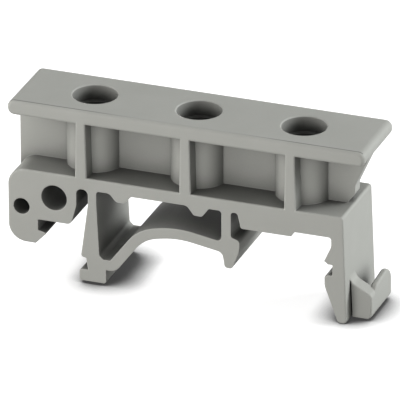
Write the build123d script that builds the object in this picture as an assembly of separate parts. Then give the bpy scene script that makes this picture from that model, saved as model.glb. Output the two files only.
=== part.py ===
"""Clip-on adapter that carries a small device on a 35 mm top-hat rail.

One polyamide moulding. X runs along the adapter, across the rail. Y runs along the rail.
Z points up, away from the panel. The origin is on the rail's centre line, which is also
the middle screw hole's axis, in the plane of the rail's underside. Lengths are millimetres.
"""

import os

from build123d import *

# Top-hat rail that the adapter clips onto
rail_width = 35.0
rail_height = 7.5
rail_sheet = 1.0

# Play between the rail's flanges and the adapter
hook_play = 0.22
latch_play = 0.08
roof_play = 0.25
lip_play = 0.1

# Carrier beam that joins everything, and its flat floor
body_depth = 9.75
floor_height = 13.75
beam_thick = 1.42

# Fixed hook block at the left end
block_end = 21.3
block_width = 8.25
block_underside = 4.68
block_round = 2.1
block_taper = 0.68
block_taper_height = 2.45
block_corner_round = 0.6
hook_lip_length = 1.05
hook_lip_drop = 0.25
hook_lip_run = 1.4
hook_round = 0.15

# Two holes through the hook block, along Y
small_hole_radius = 0.98
small_hole_x = -19.67
small_hole_height = 9.1
large_hole_radius = 1.55
large_hole_x = -15.72
large_hole_height = 10.73

# Middle leg: a thin strip that widens downwards and ends in a foot on the rail's floor
leg_slot = 1.41
leg_width = 1.0
leg_flare_height = 10.6
leg_low_width = 2.2
leg_lean = 0.3
leg_low_height = 4.0
neck_setback = 0.85
neck_height = 3.85
shelf_step = 0.45
foot_overhang = 0.2
foot_width = 3.2
foot_thick = 1.4
foot_round = 0.3

# Sprung arch from the foot to the strut
arch_thick = 1.26
arch_root_height = 3.32
arch_root_length = 0.85
arch_root_round = 0.85
shoulder_run = 3.4
shoulder_height = 7.85
shoulder_round = 4.8
crown_run = 4.3
crown_height = 8.75
crown_round = 10.6
arch_end_height = 7.75

# Strut that hangs from the beam, holds the arch's right end and carries the nub
strut_x = 4.93
strut_width = 1.1
nub_reach = 1.08
nub_height = 8.85
nub_slope = 0.38
nub_round = 0.5
nub_waist_drop = 1.45
nub_waist_setback = 0.14
nub_waist_round = 2.0
nub_tip_height = 5.35
nub_tip_width = 0.85
nub_tip_round = 0.38
nub_root_round = 0.8

# Stops under the beam that the arch can bend up to
left_stop_x = -7.74
left_stop_depth = 0.95
right_stop_x = 1.56
right_stop_depth = 1.1
stop_root_width = 2.6
stop_tip_width = 1.0
stop_round = 0.45
stop_root_round = 0.8

# Thick right end of the beam
slot_width = 0.8
thick_underside = 10.5
thick_slope = 0.42
thick_corner_round = 0.3
step_x = 12.68
step_run = 0.35
step_rise = 0.6
step_round = 0.25

# Sprung latch leg at the right end
latch_thick = 1.38
latch_face_x = 18.8
latch_lean = 0.5
latch_corner_round = 0.35
catch_reach = 1.0
catch_lead = 0.33
catch_run = 0.5
catch_round = 0.1
catch_top = 9.95
catch_top_round = 1.0
knee_height = 5.0
knee_round = 1.5
nose_height = 0.62
nose_width = 1.1
nose_round = 0.5

# Release lever on the outer face of the latch leg
lever_setback = 1.5
lever_arm_depth = 1.95
lever_reach = 2.6
lever_height = 5.25
lever_drop = 1.4
lever_root_round = 1.3
lever_root_rise = 1.2
lever_top_round = 0.7
lever_underside = 0.88
lever_low_round = 0.7
lever_slit = 0.16
lever_slit_height = 5.1
lever_slit_rise = 0.4
tab_thick = 0.75
tab_ramp_inset = 0.5
tab_ramp_height = 3.0
tab_low_height = 4.5
tab_height = 5.0
tab_bend_round = 0.8
tab_top_round = 1.7
tab_rim_round = 0.25

# Top plate, and the web that carries it
plate_length = 42.6
plate_thick = 1.75
plate_height = 22.0
plate_end_round = 0.8
plate_edge_round = 0.4
web_thick = 1.6
web_right_end = 18.8
web_upright = 1.0
web_bend_round = 1.5
web_heel_run = 0.88
web_heel_rise = 1.15
web_heel_round = 0.85

# Screw bosses, their stepped holes and the ribs that stiffen them
hole_count = 3
hole_pitch = 12.5
boss_radius = 3.25
head_radius = 2.6
head_depth = 1.9
pilot_radius = 2.15
pilot_bottom = 1.25
rim_chamfer = 0.1
rib_top_width = 1.1
rib_low_width = 1.4
rib_draft = 3.0
rib_edge_chamfer = 0.12

# Small roundings where walls meet and along outer edges
slot_round = 0.65
junction_round = 0.35
arch_root_fillet = 0.5
edge_round = 0.2

# How far joined pieces sink into each other
sink = 0.4

# Places that follow from the values above
beam_underside = floor_height - beam_thick
notch_roof = rail_height + roof_play
notch_floor = rail_height - rail_sheet - lip_play
hook_wall = -rail_width / 2 - hook_play
latch_wall = rail_width / 2 + latch_play
block_side = -block_end + block_width
leg_left = block_side + leg_slot
leg_right = leg_left + leg_width
leg_low_right = leg_right + leg_lean
leg_low_left = leg_low_right - leg_low_width
foot_left = leg_low_left - foot_overhang
foot_right = foot_left + foot_width
strut_left = strut_x - strut_width / 2
strut_right = strut_x + strut_width / 2
thick_left = strut_right + slot_width
step_underside = thick_underside + step_rise
latch_inner_x = latch_face_x - latch_thick
plate_underside = plate_height - plate_thick
plate_end = plate_length / 2
front = -body_depth / 2


def outline(*corners):
    """Side-view face inside a closed chain of straight runs. A corner is (x, z, rounding)."""
    path = FilletPolyline(
        *[(x, z) for x, z, _ in corners],
        radius=[rounding for _, _, rounding in corners],
        close=True,
    )
    return make_face(path.edges())


def slab(side_view, start, end):
    """Solid that a side-view face fills from one depth to another, along Y."""
    return extrude(Plane.XZ.offset(-start) * side_view, amount=start - end)


def eased(solid, rounding):
    """Solid with the front and back rims of its top, and what runs on smoothly, rounded."""
    for side in (0, -1):
        face = solid.faces().sort_by(Axis.Y)[side]
        rim = face.edges().sort_by(Axis.Z)[-1]
        solid = fillet(rim, rounding)
    return solid


def hook_block():
    """Left block, with the notch and lip that hook under one flange of the rail."""
    lip_x = hook_wall + hook_lip_length
    return outline(
        (-block_end, floor_height, block_round),
        (block_side + sink, floor_height, 0),
        (block_side + sink, beam_underside + sink, 0),
        (block_side, beam_underside + sink, 0),
        (block_side, notch_roof + block_taper_height, block_round),
        (block_side - block_taper, notch_roof, block_corner_round),
        (hook_wall, notch_roof, hook_round),
        (hook_wall, notch_floor, hook_round),
        (lip_x, notch_floor - hook_lip_drop, hook_round),
        (lip_x - hook_lip_run, block_underside, 0),
        (-block_end, block_underside, block_round),
    )


def beam():
    """Flat beam from the hook block to the latch leg, thicker over the rail's right side."""
    thin = outline(
        (block_side, floor_height, 0),
        (thick_left + sink, floor_height, 0),
        (thick_left + sink, beam_underside, 0),
        (block_side, beam_underside, 0),
    )
    thick = outline(
        (thick_left, floor_height, 0),
        (latch_face_x - sink, floor_height, 0),
        (latch_face_x - sink, step_underside, 0),
        (step_x + step_run, step_underside, step_round),
        (step_x, thick_underside, step_round),
        (thick_left + thick_slope, thick_underside, thick_corner_round),
        (thick_left, beam_underside, 0),
    )
    return thin + thick


def stop(x, depth):
    """Blunt tooth under the beam."""
    root = stop_root_width / 2
    tip = stop_tip_width / 2
    return outline(
        (x - root, beam_underside + sink, 0),
        (x + root, beam_underside + sink, 0),
        (x + root, beam_underside, 0),
        (x + tip, beam_underside - depth, stop_round),
        (x - tip, beam_underside - depth, stop_round),
        (x - root, beam_underside, 0),
    )


def middle_leg():
    """Tapered leg, its neck, and the foot that stands on the rail's floor."""
    shelf = arch_root_height + arch_thick / 2
    neck = leg_low_left + neck_setback
    foot_top = rail_sheet + foot_thick
    return outline(
        (leg_left, beam_underside + sink, 0),
        (leg_right, beam_underside + sink, 0),
        (leg_right, leg_flare_height, leg_width),
        (leg_low_right, shelf + shelf_step, junction_round),
        (leg_low_right + shelf_step, shelf, junction_round / 2),
        (foot_right, shelf, 0),
        (foot_right, rail_sheet, foot_round),
        (foot_left, rail_sheet, foot_round),
        (foot_left, foot_top, foot_round),
        (neck, foot_top, 0),
        (neck - shelf_step / 2, neck_height, 0),
        (leg_low_left, leg_low_height, foot_round),
        (leg_left, leg_flare_height, leg_width),
    )


def arch():
    """Sprung strip that rises from the foot, bends over and ends in the strut."""
    bend_x = foot_right + arch_root_length
    shoulder_x = bend_x + shoulder_run
    path = FilletPolyline(
        (foot_right - sink, arch_root_height),
        (bend_x, arch_root_height),
        (shoulder_x, shoulder_height),
        (shoulder_x + crown_run, crown_height),
        (strut_x, arch_end_height),
        radius=[arch_root_round, shoulder_round, crown_round],
    )
    return trace(path, line_width=arch_thick)


def strut():
    """Strut under the beam, with the nub that presses beside the arch's end."""
    upright = outline(
        (strut_left, beam_underside + sink, 0),
        (strut_right, beam_underside + sink, 0),
        (strut_right, arch_end_height, 0),
        (strut_left, arch_end_height, 0),
    )
    tip_left = strut_left + nub_slope
    nub = outline(
        (strut_left, nub_height + nub_slope, 0),
        (strut_right, nub_height + nub_slope, 0),
        (strut_right + nub_reach, nub_height, nub_round),
        (strut_right + nub_reach - nub_waist_setback, nub_height - nub_waist_drop, nub_waist_round),
        (tip_left + nub_tip_width, nub_tip_height, nub_tip_round),
        (tip_left, nub_tip_height, nub_tip_round),
        (strut_left, arch_end_height, 0),
    )
    return upright + nub


def latch_face(height):
    """X of the latch leg's outer face at a height. It leans out towards the nose."""
    drop = (floor_height - height) / (floor_height - nose_height)
    return latch_face_x + latch_lean * drop


def latch_leg():
    """Leg that latches over the rail's other flange, with its notch, catches and nose."""
    catch_x = latch_wall - catch_reach
    nose_x = latch_face(nose_height)
    rounding = min(nose_round, 0.48 * nose_width)
    return outline(
        (latch_face_x, floor_height, latch_corner_round),
        (nose_x, nose_height, rounding),
        (nose_x - nose_width, nose_height, rounding),
        (catch_x, knee_height, knee_round),
        (catch_x, notch_floor - catch_lead, 0),
        (catch_x + catch_run, notch_floor, 0),
        (latch_wall, notch_floor, catch_round),
        (latch_wall, notch_roof, catch_round),
        (catch_x + catch_run, notch_roof, 0),
        (catch_x, notch_roof + catch_lead, catch_round),
        (latch_inner_x, catch_top, catch_top_round),
        (latch_inner_x, floor_height, 0),
    )


def side_profile():
    """Whole side view under the floor, with its inside corners rounded."""
    profile = hook_block() + beam() + middle_leg() + arch() + strut() + latch_leg()
    profile += stop(left_stop_x, left_stop_depth) + stop(right_stop_x, right_stop_depth)
    root = stop_root_width / 2
    leg_wall = beam_underside - leg_flare_height
    slot = min(slot_round, 0.45 * leg_slot, 0.45 * leg_wall)
    narrow = min(junction_round, 0.45 * slot_width)
    roundings = [
        (block_side, beam_underside, slot),
        (leg_left, beam_underside, slot),
        (leg_right, beam_underside, junction_round),
        (left_stop_x - root, beam_underside, stop_root_round),
        (left_stop_x + root, beam_underside, junction_round),
        (right_stop_x - root, beam_underside, stop_root_round),
        (right_stop_x + root, beam_underside, junction_round),
        (strut_left, beam_underside, junction_round),
        (strut_right, beam_underside, narrow),
        (thick_left, beam_underside, narrow),
        (strut_right, nub_height + nub_slope, junction_round),
        (strut_left, arch_end_height + arch_thick / 2, arch_root_fillet),
        (strut_left, arch_end_height - arch_thick / 2, nub_root_round),
        (latch_inner_x, step_underside, junction_round),
    ]
    for x, z, rounding in roundings:
        corner = profile.vertices().sort_by_distance((x, z))[0]
        profile = fillet(corner, rounding)
    return profile


def lever():
    """Arm on the latch leg's outer face, with a tab behind it that a screwdriver pries on."""
    start = front + lever_setback
    arm_back = start + lever_arm_depth
    face = latch_face(lever_slit_height)
    arm_end = face + lever_reach
    slit_side = latch_face(lever_underside) + lever_slit
    root_top = lever_height + lever_root_rise
    slit_top = lever_slit_height + lever_slit_rise
    arm = outline(
        (face - sink, root_top, 0),
        (latch_face(root_top), root_top, 0),
        (latch_face(lever_height), lever_height, lever_root_round),
        (arm_end, lever_height - lever_drop, lever_top_round),
        (arm_end, lever_underside, lever_low_round),
        (slit_side, lever_underside, 0),
        (face + lever_slit, lever_slit_height, 0),
        (face, slit_top, 0),
        (face - sink, slit_top, 0),
    )
    arm_solid = slab(arm, start, arm_back)
    for side in (0, -1):
        edges = arm_solid.faces().sort_by(Axis.Y)[side].edges()
        free = [edge for edge in edges if edge.center().X > slit_side]
        arm_solid = fillet(free, edge_round)
    return arm_solid + tab(arm_end, start + tab_ramp_inset, arm_back, -start)


def tab(outer_x, start, bend, end):
    """Upright tab that climbs out of the arm's end, up to the bend, and runs on to its far end."""
    side_view = outline(
        (start, tab_ramp_height, 0),
        (bend, tab_low_height, tab_bend_round),
        (end, tab_height, tab_top_round),
        (end, lever_underside, 0),
        (start, lever_underside, 0),
    )
    wall = extrude(Plane.YZ.offset(outer_x - tab_thick) * side_view, amount=tab_thick)
    low_edge = wall.faces().sort_by(Axis.X)[-1].edges().sort_by(Axis.Z)[0]
    wall = fillet(low_edge, lever_low_round)
    for side in (0, -1):
        rim = wall.faces().sort_by(Axis.X)[side].edges().sort_by(Axis.Z)[-1]
        wall = fillet(rim, tab_rim_round)
    return wall


def web():
    """Upright wall in the middle of the depth, under the whole plate, cut back at its right end."""
    heel_top = floor_height + web_heel_rise
    heel = web_right_end - web_heel_run
    side_view = outline(
        (-block_end, floor_height - block_round, 0),
        (-block_end, plate_underside + sink, 0),
        (plate_end - sink, plate_underside + sink, 0),
        (web_right_end, heel_top + web_upright, min(web_bend_round, 1.5 * web_upright)),
        (web_right_end, heel_top, min(web_heel_round, 0.9 * web_upright)),
        (heel, floor_height, 0),
        (heel, floor_height - sink, 0),
        (block_round - block_end, floor_height - sink, 0),
    )
    return slab(side_view, -web_thick / 2, web_thick / 2)


def plate():
    """Flat plate that the device is screwed to, with round ends."""
    rounding = min(plate_end_round, 0.48 * plate_thick)
    side_view = outline(
        (-plate_end, plate_height, rounding),
        (plate_end, plate_height, rounding),
        (plate_end, plate_underside, rounding),
        (-plate_end, plate_underside, rounding),
    )
    return eased(slab(side_view, front, -front), plate_edge_round)


def rib(x):
    """Two ribs that run from a boss to the moulding's front and back faces."""
    side_view = outline(
        (x - rib_top_width / 2, plate_underside + sink, 0),
        (x + rib_top_width / 2, plate_underside + sink, 0),
        (x + rib_low_width / 2, floor_height - sink, 0),
        (x - rib_low_width / 2, floor_height - sink, 0),
    )
    forward = extrude(Plane.XZ.offset(-front) * side_view, amount=front, taper=-rib_draft)
    edges = forward.faces().sort_by(Axis.Y)[0].edges().sort_by(Axis.X)
    forward = chamfer([edges[0], edges[-1]], rib_edge_chamfer)
    return forward + mirror(forward, about=Plane.XZ)


def boss(x):
    """Round boss from the floor to the plate."""
    height = plate_underside - floor_height + 2 * sink
    low = Align.CENTER, Align.CENTER, Align.MIN
    return Pos(x, 0, floor_height - sink) * Cylinder(boss_radius, height, align=low)


def screw_hole(x):
    """Stepped blind hole: a wide mouth through the plate, then the screw's pilot hole."""
    high = Align.CENTER, Align.CENTER, Align.MAX
    top = Pos(x, 0, plate_height)
    depth = plate_height - floor_height - pilot_bottom
    mouth = Cone(head_radius, head_radius + rim_chamfer, rim_chamfer, align=high)
    return (
        top * Cylinder(head_radius, head_depth, align=high)
        + top * Cylinder(pilot_radius, depth, align=high)
        + top * mouth
    )


def cross_hole(x, z, radius):
    """Round hole through the hook block, along Y."""
    return Pos(x, 0, z) * Rot(90, 0, 0) * Cylinder(radius, 2 * body_depth)


def adapter():
    """The whole moulding as one solid."""
    body = eased(slab(side_profile(), front, -front), edge_round)
    body += plate()
    body += web()
    first = -hole_pitch * (hole_count - 1) / 2
    places = [first + i * hole_pitch for i in range(hole_count)]
    for x in places:
        body += boss(x) + rib(x)
    body += lever()
    for x in places:
        body -= screw_hole(x)
    body -= cross_hole(small_hole_x, small_hole_height, small_hole_radius)
    body -= cross_hole(large_hole_x, large_hole_height, large_hole_radius)
    return body


os.makedirs("parts", exist_ok=True)
moulding = adapter()
export_step(moulding, "parts/adapter_moulding.step")
print("solids", len(moulding.solids()), "volume", round(moulding.volume, 1))
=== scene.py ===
"""Studio view of the clip-on adapter for a 35 mm top-hat rail.

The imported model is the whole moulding. This script gives it its plastic, and sets the table,
the lamps and the camera round it. Lengths are metres, in the model's own frame.
"""

import math

import bpy
from mathutils import Matrix, Vector


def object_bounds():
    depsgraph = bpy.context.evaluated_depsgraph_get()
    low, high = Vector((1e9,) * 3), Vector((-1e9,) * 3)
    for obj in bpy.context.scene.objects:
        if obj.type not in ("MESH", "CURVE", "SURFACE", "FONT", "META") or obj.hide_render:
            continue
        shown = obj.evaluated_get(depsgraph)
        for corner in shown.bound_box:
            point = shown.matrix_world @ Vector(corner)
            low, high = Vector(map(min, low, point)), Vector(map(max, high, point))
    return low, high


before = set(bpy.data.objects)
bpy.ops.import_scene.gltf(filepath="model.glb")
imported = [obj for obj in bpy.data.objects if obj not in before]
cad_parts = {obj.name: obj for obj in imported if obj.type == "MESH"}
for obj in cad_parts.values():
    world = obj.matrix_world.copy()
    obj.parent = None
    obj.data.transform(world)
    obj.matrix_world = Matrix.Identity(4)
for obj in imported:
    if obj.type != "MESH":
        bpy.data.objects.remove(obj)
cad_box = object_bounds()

# The adapter itself: one injection moulding of grey polyamide. The mould's spark-eroded
# surface leaves a fine matt grain and the pigment is not quite even. The edges get a painted
# highlight, and holes, hollows, inside corners and a crease on the plate get painted shade.
surface_gloss = 0.3

plastic = bpy.data.materials.new("grey_polyamide_matt")
plastic.use_nodes = True
tree = plastic.node_tree
surface = tree.nodes["Principled BSDF"]
surface.inputs["Specular IOR Level"].default_value = surface_gloss
place = tree.nodes.new("ShaderNodeTexCoord")

# The pigment's faint clouds, about 5 mm across.
plastic_grey = (0.345, 0.350, 0.326, 1.0)
plastic_light = (0.395, 0.400, 0.376, 1.0)
clouds_per_metre = 210
cloud_detail = 3

cloudiness = tree.nodes.new("ShaderNodeTexNoise")
cloudiness.inputs["Scale"].default_value = clouds_per_metre
cloudiness.inputs["Detail"].default_value = cloud_detail
cloud_colour = tree.nodes.new("ShaderNodeMix")
cloud_colour.data_type = "RGBA"
cloud_colour.inputs["A"].default_value = plastic_grey
cloud_colour.inputs["B"].default_value = plastic_light
tree.links.new(place.outputs["Object"], cloudiness.inputs["Vector"])
tree.links.new(cloudiness.outputs["Fac"], cloud_colour.inputs["Factor"])

# Painted edge highlight: the more the rounded edge turns away from the flat face, the paler
# it is painted. The two limits are the cosines of that turn where the highlight starts and
# where it is full.
painted_edge_highlight = (0.60, 0.605, 0.575, 1.0)
edge_width = 0.00016
edge_samples = 8
highlight_starts = 0.995
highlight_full = 0.86
highlight_most = 0.7

round_edge = tree.nodes.new("ShaderNodeBevel")
round_edge.samples = edge_samples
round_edge.inputs["Radius"].default_value = edge_width
true_face = tree.nodes.new("ShaderNodeNewGeometry")
bend = tree.nodes.new("ShaderNodeVectorMath")
bend.operation = "DOT_PRODUCT"
edge_highlight_mask = tree.nodes.new("ShaderNodeMapRange")
edge_highlight_mask.inputs["From Min"].default_value = highlight_starts
edge_highlight_mask.inputs["From Max"].default_value = highlight_full
edge_highlight_mask.inputs["To Max"].default_value = highlight_most
highlighted_edge_colour = tree.nodes.new("ShaderNodeMix")
highlighted_edge_colour.data_type = "RGBA"
highlighted_edge_colour.inputs["B"].default_value = painted_edge_highlight
tree.links.new(round_edge.outputs["Normal"], bend.inputs[0])
tree.links.new(true_face.outputs["Normal"], bend.inputs[1])
tree.links.new(bend.outputs["Value"], edge_highlight_mask.inputs["Value"])
tree.links.new(edge_highlight_mask.outputs["Result"], highlighted_edge_colour.inputs["Factor"])
tree.links.new(cloud_colour.outputs["Result"], highlighted_edge_colour.inputs["A"])

# Painted shade in nooks and corners: holes and hollows are painted darker within a few
# millimetres, and inside corners get a narrow painted dark line.
shade_black = (0.0, 0.0, 0.0, 1.0)
nook_reach = 0.008
nook_samples = 16
nook_open = 0.80
nook_darkest = 0.08
corner_reach = 0.0025
corner_samples = 12
corner_tight = 0.35
corner_open = 0.85
corner_darkest = 0.66

nook = tree.nodes.new("ShaderNodeAmbientOcclusion")
nook.samples = nook_samples
nook.only_local = True
nook.inputs["Distance"].default_value = nook_reach
nook_shade = tree.nodes.new("ShaderNodeMapRange")
nook_shade.inputs["From Max"].default_value = nook_open
nook_shade.inputs["To Min"].default_value = nook_darkest
# Painted shade: the colour is mixed toward black where the nooks, corners and crease are
# shaded.
shaded_colour = tree.nodes.new("ShaderNodeMix")
shaded_colour.data_type = "RGBA"
shaded_colour.inputs["A"].default_value = shade_black
corner = tree.nodes.new("ShaderNodeAmbientOcclusion")
corner.samples = corner_samples
corner.only_local = True
corner.inputs["Distance"].default_value = corner_reach
corner_shade = tree.nodes.new("ShaderNodeMapRange")
corner_shade.inputs["From Min"].default_value = corner_tight
corner_shade.inputs["From Max"].default_value = corner_open
corner_shade.inputs["To Min"].default_value = corner_darkest
hollow_shade = tree.nodes.new("ShaderNodeMath")
hollow_shade.operation = "MULTIPLY"
tree.links.new(nook.outputs["AO"], nook_shade.inputs["Value"])
tree.links.new(corner.outputs["AO"], corner_shade.inputs["Value"])
tree.links.new(nook_shade.outputs["Result"], hollow_shade.inputs[0])
tree.links.new(corner_shade.outputs["Result"], hollow_shade.inputs[1])

# A painted dark line of shade along the top of the plate, just behind its rounded front edge,
# where the mould's joint leaves a fine crease. It is darkest at the two ends and fades toward
# the middle.
crease_depth = -0.004475
crease_height = 0.0218
crease_half_width = 0.00013
crease_shade_grey = 0.4
crease_faint_to = 0.006
crease_clear_from = 0.013
crease_faintest = 0.15

axes = tree.nodes.new("ShaderNodeSeparateXYZ")
off_crease = tree.nodes.new("ShaderNodeMath")
off_crease.operation = "SUBTRACT"
off_crease.inputs[1].default_value = crease_depth
away_from_crease = tree.nodes.new("ShaderNodeMath")
away_from_crease.operation = "ABSOLUTE"
crease_line = tree.nodes.new("ShaderNodeMapRange")
crease_line.inputs["From Min"].default_value = crease_half_width
crease_line.inputs["From Max"].default_value = 0.0
crease_fade = tree.nodes.new("ShaderNodeMapRange")
crease_fade.inputs["From Min"].default_value = crease_faint_to
crease_fade.inputs["From Max"].default_value = crease_clear_from
crease_fade.inputs["To Min"].default_value = crease_faintest
from_middle = tree.nodes.new("ShaderNodeMath")
from_middle.operation = "ABSOLUTE"
on_top = tree.nodes.new("ShaderNodeMath")
on_top.operation = "GREATER_THAN"
on_top.inputs[1].default_value = crease_height
crease_here = tree.nodes.new("ShaderNodeMath")
crease_here.operation = "MULTIPLY"
crease_seen = tree.nodes.new("ShaderNodeMath")
crease_seen.operation = "MULTIPLY"
crease_shade = tree.nodes.new("ShaderNodeMapRange")
crease_shade.inputs["To Min"].default_value = 1.0
crease_shade.inputs["To Max"].default_value = crease_shade_grey
whole_shade = tree.nodes.new("ShaderNodeMath")
whole_shade.operation = "MULTIPLY"
tree.links.new(place.outputs["Object"], axes.inputs["Vector"])
tree.links.new(axes.outputs["Y"], off_crease.inputs[0])
tree.links.new(off_crease.outputs["Value"], away_from_crease.inputs[0])
tree.links.new(away_from_crease.outputs["Value"], crease_line.inputs["Value"])
tree.links.new(axes.outputs["X"], from_middle.inputs[0])
tree.links.new(from_middle.outputs["Value"], crease_fade.inputs["Value"])
tree.links.new(axes.outputs["Z"], on_top.inputs[0])
tree.links.new(crease_line.outputs["Result"], crease_here.inputs[0])
tree.links.new(on_top.outputs["Value"], crease_here.inputs[1])
tree.links.new(crease_here.outputs["Value"], crease_seen.inputs[0])
tree.links.new(crease_fade.outputs["Result"], crease_seen.inputs[1])
tree.links.new(crease_seen.outputs["Value"], crease_shade.inputs["Value"])
tree.links.new(hollow_shade.outputs["Value"], whole_shade.inputs[0])
tree.links.new(crease_shade.outputs["Result"], whole_shade.inputs[1])
tree.links.new(whole_shade.outputs["Value"], shaded_colour.inputs["Factor"])
tree.links.new(highlighted_edge_colour.outputs["Result"], shaded_colour.inputs["B"])
tree.links.new(shaded_colour.outputs["Result"], surface.inputs["Base Color"])

# The grain, about 0.2 mm across. It also breaks up the sheen.
grains_per_metre = 5200
grain_detail = 4
grain_depth = 0.000012
grain_strength = 0.35
roughness_least = 0.56
roughness_most = 0.72

grain = tree.nodes.new("ShaderNodeTexNoise")
grain.inputs["Scale"].default_value = grains_per_metre
grain.inputs["Detail"].default_value = grain_detail
grain_bump = tree.nodes.new("ShaderNodeBump")
grain_bump.inputs["Strength"].default_value = grain_strength
grain_bump.inputs["Distance"].default_value = grain_depth
sheen = tree.nodes.new("ShaderNodeMapRange")
sheen.inputs["To Min"].default_value = roughness_least
sheen.inputs["To Max"].default_value = roughness_most
tree.links.new(place.outputs["Object"], grain.inputs["Vector"])
tree.links.new(grain.outputs["Fac"], grain_bump.inputs["Height"])
tree.links.new(round_edge.outputs["Normal"], grain_bump.inputs["Normal"])
tree.links.new(grain_bump.outputs["Normal"], surface.inputs["Normal"])
tree.links.new(grain.outputs["Fac"], sheen.inputs["Value"])
tree.links.new(sheen.outputs["Result"], surface.inputs["Roughness"])

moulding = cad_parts["adapter_moulding"]
moulding.data.materials.clear()
moulding.data.materials.append(plastic)

# The table: a plain sheet of white card that the adapter stands on. It shows white to the
# camera, with a painted contact shadow close under the moulding on top of the shadow the lamps
# cast, but throws little light back up.
table_size = 4.0
card_white = 0.5
card_bounce = 0.2
card_roughness = 1.0
card_gloss = 0.0
table_glow = 0.82
contact_reach = 0.004
contact_dark = 0.42
contact_clear = 0.96
contact_least = 0.06


def looked_at_in(tree):
    """Give a socket that is 1 for camera, gloss and clear rays, and 0 for all others."""
    ray = tree.nodes.new("ShaderNodeLightPath")
    seen_or_mirrored = tree.nodes.new("ShaderNodeMath")
    seen_or_mirrored.operation = "MAXIMUM"
    looked_at = tree.nodes.new("ShaderNodeMath")
    looked_at.operation = "MAXIMUM"
    tree.links.new(ray.outputs["Is Camera Ray"], seen_or_mirrored.inputs[0])
    tree.links.new(ray.outputs["Is Glossy Ray"], seen_or_mirrored.inputs[1])
    tree.links.new(seen_or_mirrored.outputs["Value"], looked_at.inputs[0])
    tree.links.new(ray.outputs["Is Transmission Ray"], looked_at.inputs[1])
    return looked_at.outputs["Value"]


bpy.ops.object.select_all(action="DESELECT")
bpy.ops.mesh.primitive_plane_add(size=table_size, location=(0, 0, cad_box[0].z))
table = bpy.context.object
table.name = "table"
card = bpy.data.materials.new("white_card")
card.use_nodes = True
tree = card.node_tree
matt_white = tree.nodes["Principled BSDF"]
matt_white.inputs["Roughness"].default_value = card_roughness
matt_white.inputs["Specular IOR Level"].default_value = card_gloss
looked_at = looked_at_in(tree)
card_colour = tree.nodes.new("ShaderNodeMapRange")
card_colour.inputs["To Min"].default_value = card_bounce
# Painted contact shadow: the card's seen colour and its glow are darkened where the moulding
# is near.
contact = tree.nodes.new("ShaderNodeAmbientOcclusion")
contact.inputs["Distance"].default_value = contact_reach
contact_shade = tree.nodes.new("ShaderNodeMapRange")
contact_shade.inputs["From Min"].default_value = contact_dark
contact_shade.inputs["From Max"].default_value = contact_clear
contact_shade.inputs["To Min"].default_value = contact_least
card_seen = tree.nodes.new("ShaderNodeMath")
card_seen.operation = "MULTIPLY"
card_seen.inputs[1].default_value = card_white
glow_here = tree.nodes.new("ShaderNodeMath")
glow_here.operation = "MULTIPLY"
glow_level = tree.nodes.new("ShaderNodeMath")
glow_level.operation = "MULTIPLY"
glow_level.inputs[1].default_value = table_glow
glow = tree.nodes.new("ShaderNodeEmission")
both = tree.nodes.new("ShaderNodeAddShader")
tree.links.new(contact.outputs["AO"], contact_shade.inputs["Value"])
tree.links.new(contact_shade.outputs["Result"], card_seen.inputs[0])
tree.links.new(looked_at, card_colour.inputs["Value"])
tree.links.new(card_seen.outputs["Value"], card_colour.inputs["To Max"])
tree.links.new(card_colour.outputs["Result"], matt_white.inputs["Base Color"])
tree.links.new(looked_at, glow_here.inputs[0])
tree.links.new(contact_shade.outputs["Result"], glow_here.inputs[1])
tree.links.new(glow_here.outputs["Value"], glow_level.inputs[0])
tree.links.new(glow_level.outputs["Value"], glow.inputs["Strength"])
tree.links.new(matt_white.outputs["BSDF"], both.inputs[0])
tree.links.new(glow.outputs["Emission"], both.inputs[1])
tree.links.new(both.outputs["Shader"], tree.nodes["Material Output"].inputs["Surface"])
table.data.materials.append(card)

# The room: a little even light from all round. The camera, and what shines or lets light
# through, see plain white.
room_white = (1.0, 1.0, 1.0, 1.0)
room_light = 0.1
room_seen = 1.0

room = bpy.data.worlds.new("pale_room")
bpy.context.scene.world = room
room.use_nodes = True
tree = room.node_tree
sky = tree.nodes["Background"]
sky.inputs["Color"].default_value = room_white
looked_at = looked_at_in(tree)
level = tree.nodes.new("ShaderNodeMapRange")
level.inputs["To Min"].default_value = room_light
level.inputs["To Max"].default_value = room_seen
tree.links.new(looked_at, level.inputs["Value"])
tree.links.new(level.outputs["Result"], sky.inputs["Strength"])

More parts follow.
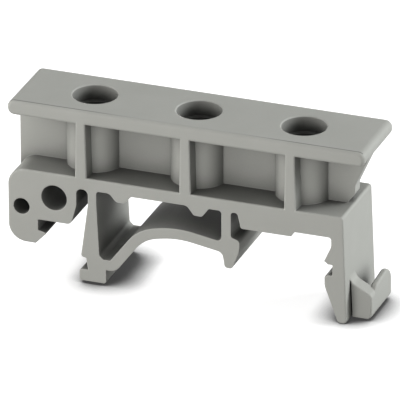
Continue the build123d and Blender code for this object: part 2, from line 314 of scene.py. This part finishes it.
# The lamps: softboxes well back in front, on the left and behind on the right, a low one
# behind, and two small ones close in front. Each has its angle round the adapter (0 is
# straight in front, 90 is the latch end), its height in degrees, its distance, its width,
# its power and its tint.
warm_light = (1.0, 0.985, 0.97)
cool_light = (0.985, 1.0, 1.0)
lamps = [
    ("front_softbox", -20, 13, 0.45, 0.2, 0.47, warm_light),
    ("left_softbox", -90, 31, 0.45, 0.2, 0.55, warm_light),
    ("right_softbox", 116, 27, 0.45, 0.2, 2.3, cool_light),
    ("back_softbox", 189, 4, 0.45, 0.06, 0.36, warm_light),
    ("near_left_softbox", -60, 20, 0.12, 0.06, 0.050, warm_light),
    ("near_front_softbox", 9, 14, 0.12, 0.05, 0.056, warm_light),
]
for name, turn, height, away, width, watts, tint in lamps:
    turn = math.radians(turn)
    height = math.radians(height)
    spot = away * Vector(
        (
            math.sin(turn) * math.cos(height),
            -math.cos(turn) * math.cos(height),
            math.sin(height),
        )
    )
    softbox = bpy.data.lights.new(name, "AREA")
    softbox.shape = "SQUARE"
    softbox.size = width
    softbox.energy = watts
    softbox.color = tint
    stand = bpy.data.objects.new(name, softbox)
    bpy.context.scene.collection.objects.link(stand)
    stand.location = spot
    stand.rotation_mode = "QUATERNION"
    stand.rotation_quaternion = spot.to_track_quat("Z", "Y")

# The camera: a long lens well back, a little to the right and above. The lens is given in
# pixels of a picture 400 wide, and the sensor's width in millimetres turns it into a length.
azimuth = math.radians(20.460)
elevation = math.radians(25.301)
roll = math.radians(-0.292)
distance = 1.067924
aim = Vector((0.00006, -0.000125, 0.010885))
lens_in_pixels = 9485.267
picture_width = 400
sensor_width = 36
nearest_seen = 0.05
farthest_seen = 20

back = Vector(
    (
        math.sin(azimuth) * math.cos(elevation),
        -math.cos(azimuth) * math.cos(elevation),
        math.sin(elevation),
    )
)
right = Vector((math.cos(azimuth), math.sin(azimuth), 0))
up = back.cross(right)
camera = bpy.data.cameras.new("photo_camera")
camera.sensor_width = sensor_width
camera.lens = lens_in_pixels / picture_width * sensor_width
camera.clip_start = nearest_seen
camera.clip_end = farthest_seen
tripod = bpy.data.objects.new("photo_camera", camera)
bpy.context.scene.collection.objects.link(tripod)
turned = Matrix((right, up, back)).transposed() @ Matrix.Rotation(roll, 3, "Z")
tripod.matrix_world = Matrix.Translation(aim + back * distance) @ turned.to_4x4()
bpy.context.scene.camera = tripod
bpy.context.scene.view_settings.view_transform = "Standard"
